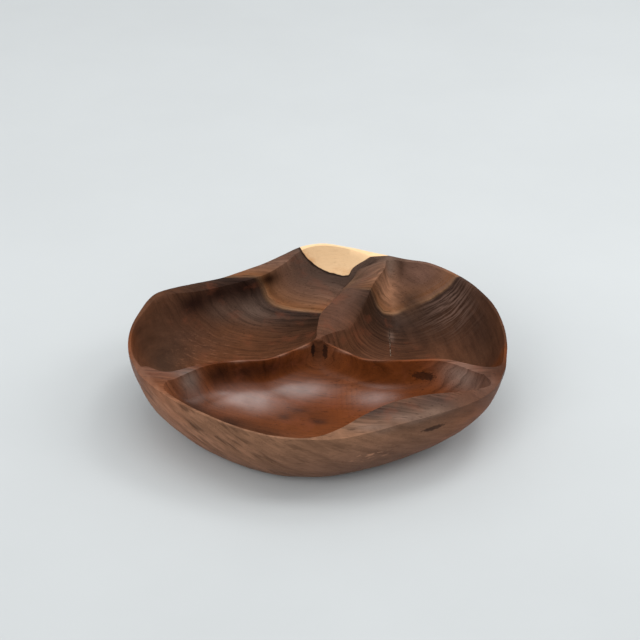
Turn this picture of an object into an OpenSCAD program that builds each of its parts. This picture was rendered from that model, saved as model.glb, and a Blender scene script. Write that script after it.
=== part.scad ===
// Shallow serving bowl with three hollows, carved from one block of wood.
// The outer wall, the three hollows and the ridges between them are one
// piece. The pale band at the back of the rim, the dark knots and the filled
// crack are zones of the same block, each with its own solid.
// Millimetres. The bowl stands on the plane z = 0, left to right along x,
// front towards minus y.

/* [Bowl] */
// Overall length, left to right
bowl_length = 281; // [220:1:360]
// Overall width, front to back
bowl_width = 245; // [190:1:310]
// Height of the highest point of the rim, at the back
bowl_height = 70; // [58:1:90]
// Width of the flat foot as a share of the bowl
foot_share = 0.59; // [0.52:0.01:0.64]

/* [Walls] */
// Thickness of the rim where it is thinnest
rim_thickness = 2.2; // [1.8:0.1:3]
// Thickness of the ridges at their crest
ridge_thickness = 1.9; // [1.4:0.1:3]
// Thickness of the floor under each hollow
floor_thickness = 12; // [9:0.5:16]

/* [Hidden] */
half_length = bowl_length / 2;
half_width = bowl_width / 2;

// Facets along each span of a curve and down each surface
span_steps = 4;
lip_steps = 3;
hollow_steps = 11;
wall_steps = 10;
// Spread of the rings down a hollow, below 1 they gather near its edge
ring_spread = 0.65;

// Place where the three ridges meet, as shares of half the length, half the
// width and the height
hub_share = [0, 0.03, 0.775];

// Ridges outwards from the meeting place, the last point lies on the rim
ridge_left_shares = [
    [-0.063, -0.018, 0.746], [-0.147, -0.059, 0.711], [-0.262, -0.13, 0.697],
    [-0.416, -0.176, 0.725], [-0.583, -0.251, 0.768], [-0.754, -0.372, 0.803],
    [-0.897, -0.422, 0.824]
];
ridge_back_shares = [
    [0.003, 0.182, 0.746], [0.022, 0.342, 0.739], [0.082, 0.473, 0.761],
    [0.178, 0.6, 0.803], [0.295, 0.672, 0.845], [0.362, 0.8, 0.868],
    [0.376, 0.939, 0.901]
];
ridge_right_shares = [
    [0.063, -0.013, 0.746], [0.148, -0.059, 0.704], [0.252, -0.123, 0.683],
    [0.438, -0.159, 0.711], [0.654, -0.203, 0.768], [0.831, -0.313, 0.796],
    [0.949, -0.36, 0.807]
];

// Rim between the ends of the ridges
rim_left_shares = [
    [-0.939, -0.317, 0.831], [-0.983, -0.168, 0.845], [-0.993, 0.037, 0.866],
    [-0.954, 0.256, 0.887], [-0.878, 0.461, 0.894], [-0.715, 0.637, 0.817],
    [-0.539, 0.782, 0.761], [-0.343, 0.882, 0.817], [-0.207, 0.936, 0.901],
    [-0.092, 0.963, 0.986], [0.034, 1.004, 0.986], [0.194, 0.987, 0.944]
];
rim_right_shares = [
    [0.489, 0.896, 0.894], [0.635, 0.851, 0.88], [0.786, 0.716, 0.859],
    [0.9, 0.528, 0.845], [0.974, 0.291, 0.831], [0.996, 0.014, 0.817],
    [0.973, -0.245, 0.81]
];
rim_front_shares = [
    [0.89, -0.527, 0.796], [0.767, -0.68, 0.81], [0.596, -0.805, 0.831],
    [0.422, -0.896, 0.831], [0.256, -0.964, 0.803], [0.107, -1.002, 0.775],
    [-0.028, -1, 0.761], [-0.182, -0.986, 0.761], [-0.348, -0.916, 0.761],
    [-0.507, -0.817, 0.775], [-0.661, -0.697, 0.789], [-0.79, -0.564, 0.803]
];

// Edge of each hollow against the line of the ridges and the rim, point by
// point from the meeting place around: how far inwards and how far up, as
// shares of half the ridge thickness along the ridges and of the rim
// thickness along the rim
left_edge_shares = [
    [1.6, 0],
    [0.9, 0], [0.9, 0], [1, 0], [1, 0], [1.2, 0], [2.5, -0.3],
    [6.4, -0.45],
    [1.8, -0.45], [1.15, -0.3], [1, -0.2], [1.3, -0.3], [1.8, -0.7],
    [3.8, -1.2], [4.4, -0.9], [5.2, -1.3], [3.8, -1.4], [1.4, -0.5],
    [0.9, -0.3], [0.9, -0.3],
    [3.6, -1.3],
    [20, -5], [21, -8], [9, -5], [1.5, -1], [1, 0], [0.9, 0]
];
right_edge_shares = [
    [2.6, -0.2],
    [12, -4], [22, -9], [22, -10], [17, -9], [4, -1.5], [2, -0.5],
    [2.6, -0.7],
    [1.3, -0.4], [1, -0.3], [1, -0.3], [1, -0.3], [0.95, -0.2],
    [0.9, 0], [1.2, 0],
    [4, -0.45],
    [3, -0.3], [1.4, 0], [1.1, 0], [1, 0], [1, 0], [0.9, 0]
];
front_edge_shares = [
    [1.6, 0],
    [0.9, 0], [1, 0], [1, 0], [1.1, 0], [2, -0.2], [6, -0.5],
    [6.4, -0.45],
    [1.8, 0.65], [4, 2.25], [7, 3], [8.1, 2.75], [6.8, 2.1],
    [3.6, 1.1], [1.1, 0.15], [0.9, 0], [0.85, 0], [0.85, 0], [1, 0],
    [2, -0.2],
    [9, -0.45],
    [8, -0.8], [2, -0.2], [1.1, 0], [1, 0], [1, 0], [0.9, 0]
];

// Lowest point of each hollow as shares of half the length and half the width
left_floor_share = [-0.48, 0.28];
right_floor_share = [0.48, 0.27];
front_floor_share = [0.03, -0.52];

// How each hollow's wall rises: the share of a plain parabola, and the power
// of the steeper rest
left_rise = [0.5, 9];
right_rise = [0.48, 7];
front_rise = [0.55, 24];

// How fast the edge gives way to the rounder plan below it
left_power = 6;
right_power = 4.5;
front_power = 7;
// Harmonics of that rounder plan
plan_harmonics = 2;
// Fullness of the outer wall outwards and upwards
wall_fullness = [1.1, 1.12];
// How far the foot is rounder than the rim
foot_roundness = 0.6;
// Middle of the foot as shares of half the length and half the width
foot_middle_share = [-0.08, -0.1];

// Pale band at the back of the rim: a cone along y around this place, as
// shares of half the length and the height, with its reach at the inner and
// the outer end as shares of half the length
sapwood_middle_share = [0.17, 1.225];
sapwood_inner_share = 0.236;
sapwood_outer_share = 0.35;
// Where the pale band begins and where its cone ends, as shares of half the
// width
sapwood_start_share = 0.8;
sapwood_end_share = 1.07;

// Dark knots: round branch cores that meet the surface at a slant, from
// their open end to their end inside the wood, and their radii
hub_knot_left_shares = [[-0.026, -0.01, 0.82], [-0.024, -0.01, 0.54]];
hub_knot_right_shares = [[0.037, -0.015, 0.82], [0.039, -0.015, 0.52]];
front_knot_shares = [[0.632, -0.247, 0.693], [0.488, -0.18, 0.489]];
outer_knot_shares = [[0.49, -0.85, 0.59], [0.64, -0.755, 0.7]];
hub_knot_radius = 1.3;
front_knot_radius = 2.2;
outer_knot_radius = 1.8;

// Filled crack on the floor of the right hollow: its middle, its length, the
// height of the cut above its root, its width and its depth
crack_middle_share = [0.404, 0.45];
crack_length_share = 0.22;
crack_top_share = 0.5;
crack_width = 1.1;
crack_depth = 3;

heartwood_colour = [0.38, 0.24, 0.17];
sapwood_colour = [0.82, 0.7, 0.52];
knot_colour = [0.12, 0.07, 0.05];
filler_colour = [0.62, 0.5, 0.4];

function lerp(a, b, t) = a + (b - a) * t;
function last(items) = items[len(items) - 1];
function reversed(items) = [for (i = [len(items) - 1 : -1 : 0]) items[i]];
function all_but_last(items) = [for (i = [0 : 1 : len(items) - 2]) items[i]];
function total(items, i = 0) =
    i == len(items) - 1 ? items[i] : items[i] + total(items, i + 1);
function around(items, i) = items[(i + len(items)) % len(items)];

// Curve through points b and c that leaves from a and goes on to d
function through(a, b, c, d, t) =
    (2 * b + (c - a) * t + (2 * a - 5 * b + 4 * c - d) * t * t
        + (3 * b - a - 3 * c + d) * t * t * t) / 2;
function closed_curve(points) = [
    for (i = [0 : 1 : len(points) - 1])
        for (j = [0 : 1 : span_steps - 1])
            through(around(points, i - 1), points[i], around(points, i + 1),
                around(points, i + 2), j / span_steps)
];
function open_curve(points) =
    let (
        before = 2 * points[0] - points[1],
        after = 2 * last(points) - points[len(points) - 2],
        all = concat([before], points, [after])
    )
    concat([
        for (i = [1 : 1 : len(points) - 1])
            for (j = [0 : 1 : span_steps - 1])
                through(all[i - 1], all[i], all[i + 1], all[i + 2],
                    j / span_steps)
    ], [last(points)]);

// Middle and reach of the rim in shares, so that the named length, width and
// height are those of the finished curve
rim_shares = closed_curve(concat([last(ridge_left_shares)], rim_left_shares,
    [last(ridge_back_shares)], rim_right_shares, [last(ridge_right_shares)],
    rim_front_shares));
function column(rows, i) = [for (row = rows) row[i]];
function middle(values) = (max(values) + min(values)) / 2;
function half_span(values) = (max(values) - min(values)) / 2;
middle_x = middle(column(rim_shares, 0));
middle_y = middle(column(rim_shares, 1));
scale_x = half_length / half_span(column(rim_shares, 0));
scale_y = half_width / half_span(column(rim_shares, 1));
scale_z = bowl_height / max(column(rim_shares, 2));

// Point of the block from its shares
function placed(share) = [
    (share[0] - middle_x) * scale_x,
    (share[1] - middle_y) * scale_y,
    share[2] * scale_z
];
function all_placed(shares) = [for (share = shares) placed(share)];

hub = placed(hub_share);
ridge_left = all_placed(ridge_left_shares);
ridge_back = all_placed(ridge_back_shares);
ridge_right = all_placed(ridge_right_shares);
rim_left = all_placed(rim_left_shares);
rim_right = all_placed(rim_right_shares);
rim_front = all_placed(rim_front_shares);

rim_points = concat([last(ridge_left)], rim_left, [last(ridge_back)],
    rim_right, [last(ridge_right)], rim_front);
rim_curve = closed_curve(rim_points);
function rim_stretch(first, spans) = [
    for (i = [0 : 1 : spans * span_steps])
        around(rim_curve, first * span_steps + i)
];
left_spans = len(rim_left) + 1;
right_spans = len(rim_right) + 1;
front_spans = len(rim_front) + 1;

curve_left = open_curve(concat([hub], ridge_left));
curve_back = open_curve(concat([hub], ridge_back));
curve_right = open_curve(concat([hub], ridge_right));

// Line around one hollow: out along a ridge, along the rim, back again
function border(out, rim, back) =
    concat(all_but_last(out), all_but_last(rim), all_but_last(reversed(back)));
left_border = border(curve_left, rim_stretch(0, left_spans), curve_back);
right_border = border(curve_back, rim_stretch(left_spans, right_spans),
    curve_right);
front_border = border(curve_right,
    rim_stretch(left_spans + right_spans, front_spans), curve_left);

left_points = concat([hub], ridge_left, rim_left, reversed(ridge_back));
right_points = concat([hub], ridge_back, rim_right, reversed(ridge_right));
front_points = concat([hub], ridge_right, rim_front, reversed(ridge_left));

// Edge points of one hollow from its border points and the edge shares
function edge_unit(i, ridge, rim) =
    i < ridge || i > ridge + rim + 1 ? ridge_thickness / 2 : rim_thickness;
function edge_points(points, shares, ridge, rim) = [
    for (i = [0 : 1 : len(points) - 1])
        let (
            along = around(points, i + 1) - around(points, i - 1),
            inwards = [along[1], -along[0]] / norm([along[0], along[1]]),
            unit = edge_unit(i, ridge, rim)
        )
        points[i] + unit * [
            inwards[0] * shares[i][0],
            inwards[1] * shares[i][0],
            shares[i][1]
        ]
];
left_edge = closed_curve(edge_points(left_points, left_edge_shares,
    len(ridge_left), len(rim_left)));
right_edge = closed_curve(edge_points(right_points, right_edge_shares,
    len(ridge_back), len(rim_right)));
front_edge = closed_curve(edge_points(front_points, front_edge_shares,
    len(ridge_right), len(rim_front)));

// Round plan of a closed line: its mean and its first harmonics
function harmonic(line, k) =
    let (
        n = len(line),
        by_cos = total([for (j = [0 : 1 : n - 1]) line[j] * cos(360 * k * j / n)]),
        by_sin = total([for (j = [0 : 1 : n - 1]) line[j] * sin(360 * k * j / n)])
    )
    [by_cos * 2 / n, by_sin * 2 / n];
function round_plan(line) =
    let (
        n = len(line),
        mean = total(line) / n,
        parts = [for (k = [1 : 1 : plan_harmonics]) harmonic(line, k)]
    )
    [
        for (j = [0 : 1 : n - 1])
            mean + total([
                for (k = [1 : 1 : plan_harmonics])
                    parts[k - 1][0] * cos(360 * k * j / n)
                        + parts[k - 1][1] * sin(360 * k * j / n)
            ])
    ];

// Crest between border and edge, slightly domed
function crest_rings(border, edge) = [
    for (j = [0 : 1 : lip_steps - 1])
        let (t = j / lip_steps)
        [
            for (i = [0 : 1 : len(border) - 1])
                lerp(border[i], edge[i], t)
                    + [0, 0, max(border[i][2] - edge[i][2], 0) * t * (1 - t)]
        ]
];

// Wall and floor of one hollow from the edge down
function hollow_rings(edge, lowest, rise, power) =
    let (plan = round_plan(edge))
    [
        for (j = [hollow_steps : -1 : 1])
            let (
                u = pow(j / hollow_steps, ring_spread),
                w = pow(u, power),
                height = rise[0] * u * u + (1 - rise[0]) * pow(u, rise[1])
            )
            [
                for (i = [0 : 1 : len(edge) - 1])
                    let (p = lerp(plan[i], edge[i], w))
                    [
                        lerp(lowest[0], p[0], u),
                        lerp(lowest[1], p[1], u),
                        lerp(lowest[2], p[2], height)
                    ]
            ]
    ];
function lowest_point(share) =
    [share[0] * half_length, share[1] * half_width, floor_thickness];

// Outer wall from the foot up to the rim
foot_middle = [
    foot_middle_share[0] * half_length,
    foot_middle_share[1] * half_width
];
mean_reach = total([for (p = rim_curve) norm([p[0], p[1]])]) / len(rim_curve);
function wall_ring(turn) = [
    for (p = rim_curve)
        let (
            far = norm([p[0], p[1]]),
            foot = foot_share * lerp(far, mean_reach, foot_roundness) / far,
            out = pow(sin(turn), wall_fullness[0])
        )
        [
            lerp(foot_middle[0] + p[0] * foot, p[0], out),
            lerp(foot_middle[1] + p[1] * foot, p[1], out),
            p[2] * (1 - pow(cos(turn), wall_fullness[1]))
        ]
];
wall_rings = concat(
    [for (j = [0 : 1 : wall_steps - 1]) wall_ring(90 * j / wall_steps)],
    [rim_curve]
);

// Sheets of rings closed by a point, as points and faces
function ring_faces(start, rings, n) = [
    for (r = [0 : 1 : rings - 2])
        for (i = [0 : 1 : n - 1])
            let (
                a = start + r * n + i,
                b = start + r * n + (i + 1) % n
            )
            each [[a, b, b + n], [a, b + n, a + n]]
];
function tip_faces(start, rings, n) = [
    for (i = [0 : 1 : n - 1])
        [start + (rings - 1) * n + i, start + (rings - 1) * n + (i + 1) % n,
            start + rings * n]
];
function flat_list(rings) = [for (ring = rings) each ring];
function turned_over(faces) = [for (f = faces) [f[0], f[2], f[1]]];

module bowl_solid() {
    sheets = [
        [reversed(wall_rings), [foot_middle[0], foot_middle[1], 0]],
        [concat(crest_rings(left_border, left_edge),
            hollow_rings(left_edge, lowest_point(left_floor_share), left_rise,
                left_power)),
            lowest_point(left_floor_share)],
        [concat(crest_rings(right_border, right_edge),
            hollow_rings(right_edge, lowest_point(right_floor_share), right_rise,
                right_power)),
            lowest_point(right_floor_share)],
        [concat(crest_rings(front_border, front_edge),
            hollow_rings(front_edge, lowest_point(front_floor_share), front_rise,
                front_power)),
            lowest_point(front_floor_share)]
    ];
    points = [for (sheet = sheets) each concat(flat_list(sheet[0]), [sheet[1]])];
    starts = [
        for (i = [0 : 1 : len(sheets) - 1])
            total(concat([0], [
                for (j = [0 : 1 : i - 1])
                    len(sheets[j][0]) * len(sheets[j][0][0]) + 1
            ]))
    ];
    faces = [
        for (i = [0 : 1 : len(sheets) - 1])
            let (
                rings = len(sheets[i][0]),
                n = len(sheets[i][0][0]),
                own = concat(ring_faces(starts[i], rings, n),
                    tip_faces(starts[i], rings, n))
            )
            each (i == 0 ? turned_over(own) : own)
    ];
    polyhedron(points = points, faces = faces, convexity = 8);
}

module sapwood_zone() {
    translate([
        sapwood_middle_share[0] * half_length,
        sapwood_start_share * half_width,
        sapwood_middle_share[1] * bowl_height
    ])
        rotate([-90, 0, 0])
            cylinder(
                h = (sapwood_end_share - sapwood_start_share) * half_width,
                r1 = sapwood_inner_share * half_length,
                r2 = sapwood_outer_share * half_length
            );
}

module knot_zone(shares, radius) {
    from = placed(shares[0]);
    along = placed(shares[1]) - from;
    translate(from)
        rotate([0, acos(along[2] / norm(along)), atan2(along[1], along[0])])
            cylinder(h = norm(along), r = radius);
}

module crack_zone() {
    length = crack_length_share * half_width;
    translate([
        crack_middle_share[0] * half_length - crack_width / 2,
        crack_middle_share[1] * half_width - length / 2,
        floor_thickness - crack_depth
    ])
        cube([crack_width, length, crack_top_share * bowl_height]);
}

module heartwood_body() {
    color(heartwood_colour) difference() {
        bowl_solid();
        sapwood_zone();
        knot_zone(hub_knot_left_shares, hub_knot_radius);
        knot_zone(hub_knot_right_shares, hub_knot_radius);
        knot_zone(front_knot_shares, front_knot_radius);
        knot_zone(outer_knot_shares, outer_knot_radius);
        crack_zone();
    }
}

module sapwood_edge() {
    color(sapwood_colour) intersection() {
        bowl_solid();
        sapwood_zone();
    }
}

module knot(shares, radius) {
    color(knot_colour) intersection() {
        bowl_solid();
        knot_zone(shares, radius);
    }
}

module hub_knot_left() {
    knot(hub_knot_left_shares, hub_knot_radius);
}

module hub_knot_right() {
    knot(hub_knot_right_shares, hub_knot_radius);
}

module front_knot() {
    knot(front_knot_shares, front_knot_radius);
}

module outer_knot() {
    knot(outer_knot_shares, outer_knot_radius);
}

module crack_fill() {
    color(filler_colour) intersection() {
        bowl_solid();
        crack_zone();
    }
}

heartwood_body();
sapwood_edge();
hub_knot_left();
hub_knot_right();
front_knot();
outer_knot();
crack_fill();
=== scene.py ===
"""Divided serving bowl, carved from one block of wood: the look of its pieces.

The blank is laid out again from the same shares as the solids, only finer, and
parted into the same zones: heartwood, sapwood, knots and the filled crack.
Metres, in the frame of the solids: left to right along x, front towards minus y.
"""
import math

import bpy
import numpy as np
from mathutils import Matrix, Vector


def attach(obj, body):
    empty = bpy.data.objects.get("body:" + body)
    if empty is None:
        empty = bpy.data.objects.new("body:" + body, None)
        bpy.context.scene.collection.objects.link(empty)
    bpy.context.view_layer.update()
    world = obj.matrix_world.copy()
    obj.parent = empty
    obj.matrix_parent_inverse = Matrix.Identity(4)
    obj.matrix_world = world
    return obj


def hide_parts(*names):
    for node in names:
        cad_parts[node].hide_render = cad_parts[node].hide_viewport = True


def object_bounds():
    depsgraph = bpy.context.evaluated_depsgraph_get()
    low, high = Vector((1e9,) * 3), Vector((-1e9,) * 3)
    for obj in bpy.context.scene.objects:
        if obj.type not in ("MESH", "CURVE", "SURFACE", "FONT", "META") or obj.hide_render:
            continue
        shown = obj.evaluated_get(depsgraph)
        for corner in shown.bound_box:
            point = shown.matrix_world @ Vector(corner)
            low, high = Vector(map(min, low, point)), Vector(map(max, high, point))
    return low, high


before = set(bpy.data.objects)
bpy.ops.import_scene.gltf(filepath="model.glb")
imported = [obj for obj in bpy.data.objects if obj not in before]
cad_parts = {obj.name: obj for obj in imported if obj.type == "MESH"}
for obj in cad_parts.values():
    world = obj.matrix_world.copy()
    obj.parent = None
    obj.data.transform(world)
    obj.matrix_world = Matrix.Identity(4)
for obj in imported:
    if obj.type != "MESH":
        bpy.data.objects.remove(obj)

bl_info = {
    "name": "Divided serving bowl",
    "version": (1, 0, 0),
    "blender": (4, 5, 0),
    "location": "3D View > Sidebar > Bowl",
    "description": "Carved wooden serving bowl with three hollows",
    "category": "Add Mesh",
}

SOLID_BOX = [[float(v) for v in corner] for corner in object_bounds()]
SIZE = [high - low for low, high in zip(*SOLID_BOX)]
MM = 0.001

# Shares of half the length, half the width and the height, as in the solids
HUB = [0, 0.03, 0.775]
RIDGE_LEFT = [
    [-0.063, -0.018, 0.746], [-0.147, -0.059, 0.711], [-0.262, -0.13, 0.697],
    [-0.416, -0.176, 0.725], [-0.583, -0.251, 0.768], [-0.754, -0.372, 0.803],
    [-0.897, -0.422, 0.824]
]
RIDGE_BACK = [
    [0.003, 0.182, 0.746], [0.022, 0.342, 0.739], [0.082, 0.473, 0.761],
    [0.178, 0.6, 0.803], [0.295, 0.672, 0.845], [0.362, 0.8, 0.868],
    [0.376, 0.939, 0.901]
]
RIDGE_RIGHT = [
    [0.063, -0.013, 0.746], [0.148, -0.059, 0.704], [0.252, -0.123, 0.683],
    [0.438, -0.159, 0.711], [0.654, -0.203, 0.768], [0.831, -0.313, 0.796],
    [0.949, -0.36, 0.807]
]
RIM_LEFT = [
    [-0.939, -0.317, 0.831], [-0.983, -0.168, 0.845], [-0.993, 0.037, 0.866],
    [-0.954, 0.256, 0.887], [-0.878, 0.461, 0.894], [-0.715, 0.637, 0.817],
    [-0.539, 0.782, 0.761], [-0.343, 0.882, 0.817], [-0.207, 0.936, 0.901],
    [-0.092, 0.963, 0.986], [0.034, 1.004, 0.986], [0.194, 0.987, 0.944]
]
RIM_RIGHT = [
    [0.489, 0.896, 0.894], [0.635, 0.851, 0.88], [0.786, 0.716, 0.859],
    [0.9, 0.528, 0.845], [0.974, 0.291, 0.831], [0.996, 0.014, 0.817],
    [0.973, -0.245, 0.81]
]
RIM_FRONT = [
    [0.89, -0.527, 0.796], [0.767, -0.68, 0.81], [0.596, -0.805, 0.831],
    [0.422, -0.896, 0.831], [0.256, -0.964, 0.803], [0.107, -1.002, 0.775],
    [-0.028, -1, 0.761], [-0.182, -0.986, 0.761], [-0.348, -0.916, 0.761],
    [-0.507, -0.817, 0.775], [-0.661, -0.697, 0.789], [-0.79, -0.564, 0.803]
]
LEFT_EDGE = [
    [1.6, 0],
    [0.9, 0], [0.9, 0], [1, 0], [1, 0], [1.2, 0], [2.5, -0.3],
    [6.4, -0.45],
    [1.8, -0.45], [1.15, -0.3], [1, -0.2], [1.3, -0.3], [1.8, -0.7],
    [3.8, -1.2], [4.4, -0.9], [5.2, -1.3], [3.8, -1.4], [1.4, -0.5],
    [0.9, -0.3], [0.9, -0.3],
    [3.6, -1.3],
    [20, -5], [21, -8], [9, -5], [1.5, -1], [1, 0], [0.9, 0]
]
RIGHT_EDGE = [
    [2.6, -0.2],
    [12, -4], [22, -9], [22, -10], [17, -9], [4, -1.5], [2, -0.5],
    [2.6, -0.7],
    [1.3, -0.4], [1, -0.3], [1, -0.3], [1, -0.3], [0.95, -0.2],
    [0.9, 0], [1.2, 0],
    [4, -0.45],
    [3, -0.3], [1.4, 0], [1.1, 0], [1, 0], [1, 0], [0.9, 0]
]
FRONT_EDGE = [
    [1.6, 0],
    [0.9, 0], [1, 0], [1, 0], [1.1, 0], [2, -0.2], [6, -0.5],
    [6.4, -0.45],
    [1.8, 0.65], [4, 2.25], [7, 3], [8.1, 2.75], [6.8, 2.1],
    [3.6, 1.1], [1.1, 0.15], [0.9, 0], [0.85, 0], [0.85, 0], [1, 0],
    [2, -0.2],
    [9, -0.45],
    [8, -0.8], [2, -0.2], [1.1, 0], [1, 0], [1, 0], [0.9, 0]
]
LEFT_FLOOR = [-0.48, 0.28]
RIGHT_FLOOR = [0.48, 0.27]
FRONT_FLOOR = [0.03, -0.52]
LEFT_RISE = [0.5, 9]
RIGHT_RISE = [0.48, 7]
FRONT_RISE = [0.55, 24]
LEFT_POWER = 6
RIGHT_POWER = 4.5
FRONT_POWER = 7
RING_SPREAD = 0.65
PLAN_HARMONICS = 2
WALL_FULLNESS = [1.1, 1.12]
FOOT_ROUNDNESS = 0.6
FOOT_MIDDLE = [-0.08, -0.1]
SAPWOOD_MIDDLE = [0.17, 1.225]
SAPWOOD_INNER = 0.236
SAPWOOD_OUTER = 0.35
SAPWOOD_START = 0.8
SAPWOOD_END = 1.07
HUB_KNOT_LEFT = [[-0.026, -0.01, 0.82], [-0.024, -0.01, 0.54]]
HUB_KNOT_RIGHT = [[0.037, -0.015, 0.82], [0.039, -0.015, 0.52]]
FRONT_KNOT = [[0.632, -0.247, 0.693], [0.488, -0.18, 0.489]]
OUTER_KNOT = [[0.49, -0.85, 0.59], [0.64, -0.755, 0.7]]
CRACK_MIDDLE = [0.404, 0.45]
CRACK_LENGTH = 0.22
CRACK_TOP = 0.5

HOLLOWS = [
    # ridge out, rim, ridge home, edge, lowest point, rise, power
    (RIDGE_LEFT, RIM_LEFT, RIDGE_BACK, LEFT_EDGE, LEFT_FLOOR, LEFT_RISE, LEFT_POWER),
    (RIDGE_BACK, RIM_RIGHT, RIDGE_RIGHT, RIGHT_EDGE, RIGHT_FLOOR, RIGHT_RISE, RIGHT_POWER),
    (RIDGE_RIGHT, RIM_FRONT, RIDGE_LEFT, FRONT_EDGE, FRONT_FLOOR, FRONT_RISE, FRONT_POWER),
]

# Steps along each span of a curve, over the crest and down each surface
SOLID_SPAN_STEPS = 4
SPAN_STEPS = 12
LIP_STEPS = 8
HOLLOW_STEPS = 44
WALL_STEPS = 36
# Rows of the flat foot, as shares of the way to its edge
FOOT_ROWS = (0, 0.4, 0.8, 0.96)
CONE_SIDES = 96
KNOT_SIDES = 48
# How far the plate of the crack reaches down into the floor
CRACK_DEPTH = 3 * MM
# Heights between which the unevenness of the carving sets in
UNEVEN_FROM = 2 * MM
UNEVEN_FULL = 10 * MM
MERGE_DISTANCE = 1e-6
SMOOTH_ANGLE = math.radians(38)
BLANK = "blank"


def lerp(a, b, t):
    """Value between a and b."""
    return a + (b - a) * t


def through(a, b, c, d, t):
    """Point on the curve through b and c that comes from a and goes on to d."""
    return (2 * b + (c - a) * t + (2 * a - 5 * b + 4 * c - d) * t * t
            + (3 * b - a - 3 * c + d) * t ** 3) / 2


def closed_curve(points, steps):
    """Closed smooth curve through the points."""
    p = np.asarray(points, float)
    n = len(p)
    return np.array([
        through(p[i - 1], p[i], p[(i + 1) % n], p[(i + 2) % n], j / steps)
        for i in range(n) for j in range(steps)
    ])


def open_curve(points, steps):
    """Open smooth curve through the points, both ends included."""
    p = np.asarray(points, float)
    p = np.vstack([2 * p[0] - p[1], p, 2 * p[-1] - p[-2]])
    curve = [
        through(p[i - 1], p[i], p[i + 1], p[i + 2], j / steps)
        for i in range(1, len(p) - 2) for j in range(steps)
    ]
    return np.array(curve + [p[-2]])


RIM = np.vstack([RIDGE_LEFT[-1:], RIM_LEFT, RIDGE_BACK[-1:], RIM_RIGHT, RIDGE_RIGHT[-1:],
                 RIM_FRONT])
SOLID_RIM = closed_curve(RIM, SOLID_SPAN_STEPS)
SHARE_MIDDLE = (SOLID_RIM.max(0) + SOLID_RIM.min(0)) / 2 * [1, 1, 0]
SHARE_REACH = np.append((SOLID_RIM.max(0) - SOLID_RIM.min(0))[:2] / 2, SOLID_RIM[:, 2].max())
HALF = np.array([SIZE[0] / 2, SIZE[1] / 2, SIZE[2]])


def placed(shares):
    """Points of the block, in metres, from their shares."""
    return (np.asarray(shares, float) - SHARE_MIDDLE) / SHARE_REACH * HALF


def edge_points(points, shares, ridge, rim, ridge_unit, rim_unit):
    """Edge of a hollow: inwards and up from its border, point by point."""
    n = len(points)
    edge = []
    for i, (point, share) in enumerate(zip(points, shares)):
        along = points[(i + 1) % n] - points[i - 1]
        inwards = np.array([along[1], -along[0]]) / np.hypot(along[0], along[1])
        unit = rim_unit if ridge <= i <= ridge + rim + 1 else ridge_unit
        edge.append(point + unit * np.append(inwards * share[0], share[1]))
    return np.array(edge)


def round_plan(line):
    """Round plan of a closed line: its mean and its first harmonics."""
    n = len(line)
    turn = 2 * np.pi * np.arange(n)[:, None] / n
    plan = np.repeat(line.mean(0)[None], n, 0)
    for k in range(1, PLAN_HARMONICS + 1):
        plan = plan + (line * np.cos(k * turn)).sum(0) * 2 / n * np.cos(k * turn)
        plan = plan + (line * np.sin(k * turn)).sum(0) * 2 / n * np.sin(k * turn)
    return plan


def hollow_rings(border, edge, lowest, rise, power):
    """Rows of one hollow: over its domed crest and down to its lowest point."""
    rings = []
    for j in range(LIP_STEPS):
        t = j / LIP_STEPS
        ring = lerp(border, edge, t)
        ring[:, 2] += np.maximum(border[:, 2] - edge[:, 2], 0) * t * (1 - t)
        rings.append(ring)
    plan = round_plan(edge)
    for j in range(HOLLOW_STEPS, 0, -1):
        u = (j / HOLLOW_STEPS) ** RING_SPREAD
        height = rise[0] * u * u + (1 - rise[0]) * u ** rise[1]
        p = lerp(plan, edge, u ** power)
        ring = lerp(lowest, p, u)
        ring[:, 2] = lerp(lowest[2], p[:, 2], height)
        rings.append(ring)
    return rings + [np.repeat(lowest[None], len(edge), 0)]


def wall_rings(rim, foot_share):
    """Rows of the outer wall: from the middle of the foot up to the rim."""
    middle = np.array(FOOT_MIDDLE) * HALF[:2]
    far = np.hypot(rim[:, 0], rim[:, 1])
    foot = (foot_share * lerp(far, far.mean(), FOOT_ROUNDNESS) / far)[:, None] * rim[:, :2]
    rings = [np.column_stack([middle + foot * share, np.zeros(len(rim))])
             for share in FOOT_ROWS]
    for j in range(WALL_STEPS + 1):
        turn = math.radians(90 * j / WALL_STEPS)
        out = math.sin(turn) ** WALL_FULLNESS[0]
        up = 1 - max(math.cos(turn), 0) ** WALL_FULLNESS[1]
        rings.append(np.column_stack([lerp(middle + foot, rim[:, :2], out), rim[:, 2] * up]))
    return rings


def bowl_sheets(shape):
    """The four sheets of the bowl: its outer wall and its three hollows."""
    hub = placed(HUB)[None]
    rim = closed_curve(placed(RIM), SPAN_STEPS)
    sheets = [wall_rings(rim, shape.foot_share)]
    first = 0
    for out, along, home, shares, floor, rise, power in HOLLOWS:
        out, along, home = placed(out), placed(along), placed(home)
        last = first + (len(along) + 1) * SPAN_STEPS
        stretch = np.take(rim, range(first, last), axis=0, mode="wrap")
        first = last
        there, back = (open_curve(np.vstack([hub, ridge]), SPAN_STEPS) for ridge in (out, home))
        border = np.vstack([there[:-1], stretch, back[::-1][:-1]])
        points = edge_points(np.vstack([hub, out, along, home[::-1]]), shares, len(out),
                             len(along), shape.ridge_thickness / 2, shape.rim_thickness)
        lowest = np.array([floor[0] * HALF[0], floor[1] * HALF[1], shape.floor_thickness])
        edge = closed_curve(points, SPAN_STEPS)
        sheets.append(hollow_rings(border, edge, lowest, rise, power))
    return sheets


def select_only(*objects):
    """Select these objects and nothing else, the first one active."""
    bpy.ops.object.select_all(action="DESELECT")
    for piece in objects:
        piece.select_set(True)
    bpy.context.view_layer.objects.active = objects[0]


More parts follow.
